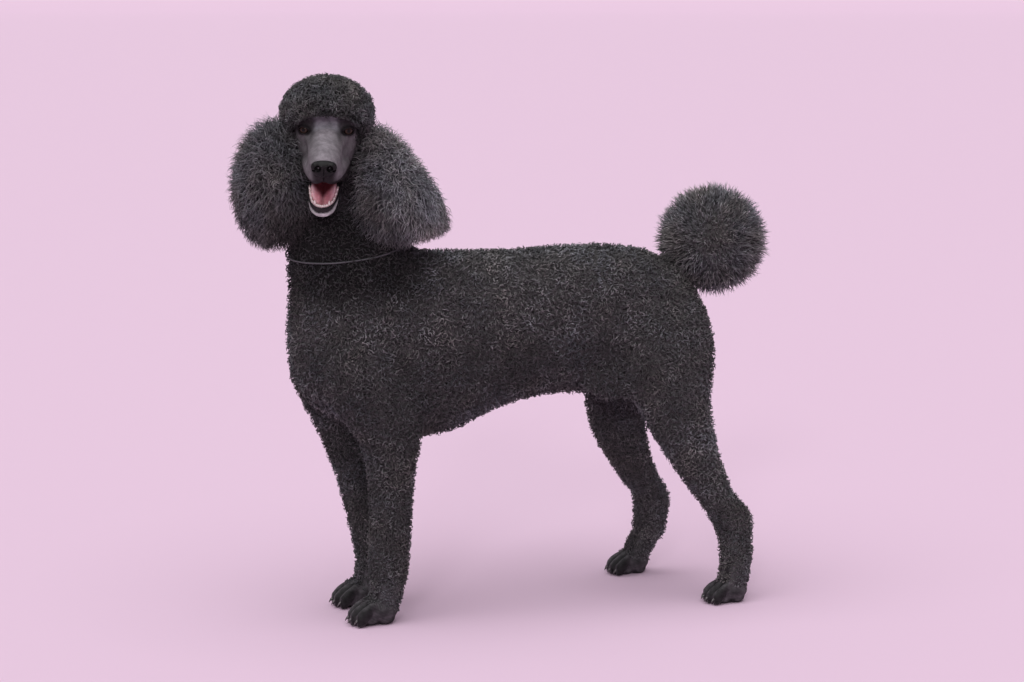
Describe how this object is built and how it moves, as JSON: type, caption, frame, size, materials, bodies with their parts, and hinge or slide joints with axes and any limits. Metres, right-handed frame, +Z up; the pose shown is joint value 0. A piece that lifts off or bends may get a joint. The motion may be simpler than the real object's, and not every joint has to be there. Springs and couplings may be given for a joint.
{
  "type": "standard poodle, still model",
  "caption": "Life-size still model of a black standard poodle standing square, head turned to its left, mouth open, round tail pompom.",
  "frame": {"origin": "on the floor, at the middle of the model's bounding box, soles at z = 0", "axes": "the body faces -Y, its left side is at +X, +Z is up; the head is turned to the dog's left"},
  "size_m": [0.3527, 0.9237, 0.8966],
  "materials": {
    "short_coat": "matt short curly black fur",
    "long_coat": "soft matt black curls and locks",
    "shaved_face": "close shaved grey-black skin with a soft sheen",
    "shaved_feet": "close shaved black skin",
    "nose_leather": "moist black leather",
    "tongue": "wet pink",
    "teeth": "wet ivory",
    "eyes": "glossy dark brown",
    "claws": "glossy grey horn",
    "collar_cord": "thin dark cord"
  },
  "bodies": {
    "root": {"claw_fore_left_1": "claws", "claw_fore_left_2": "claws", "claw_fore_left_3": "claws", "claw_fore_left_4": "claws", "claw_fore_right_1": "claws", "claw_fore_right_2": "claws", "claw_fore_right_3": "claws", "claw_fore_right_4": "claws", "claw_hind_left_1": "claws", "claw_hind_left_2": "claws", "claw_hind_left_3": "claws", "claw_hind_left_4": "claws", "claw_hind_right_1": "claws", "claw_hind_right_2": "claws", "claw_hind_right_3": "claws", "claw_hind_right_4": "claws", "collar": "collar_cord", "ear_left": "long_coat", "ear_right": "long_coat", "eye_left": "eyes", "eye_right": "eyes", "foreleg_left": "short_coat", "foreleg_right": "short_coat", "head": "shaved_face", "hindleg_left": "short_coat", "hindleg_right": "short_coat", "lower_jaw": "shaved_face", "lower_teeth": "teeth", "neck": "short_coat", "nose": "nose_leather", "paw_fore_left": "shaved_feet", "paw_fore_right": "shaved_feet", "paw_hind_left": "shaved_feet", "paw_hind_right": "shaved_feet", "tail": "short_coat", "tail_pompom": "long_coat", "tongue": "tongue", "topknot": "long_coat", "torso": "short_coat"}
  },
  "joints": []
}
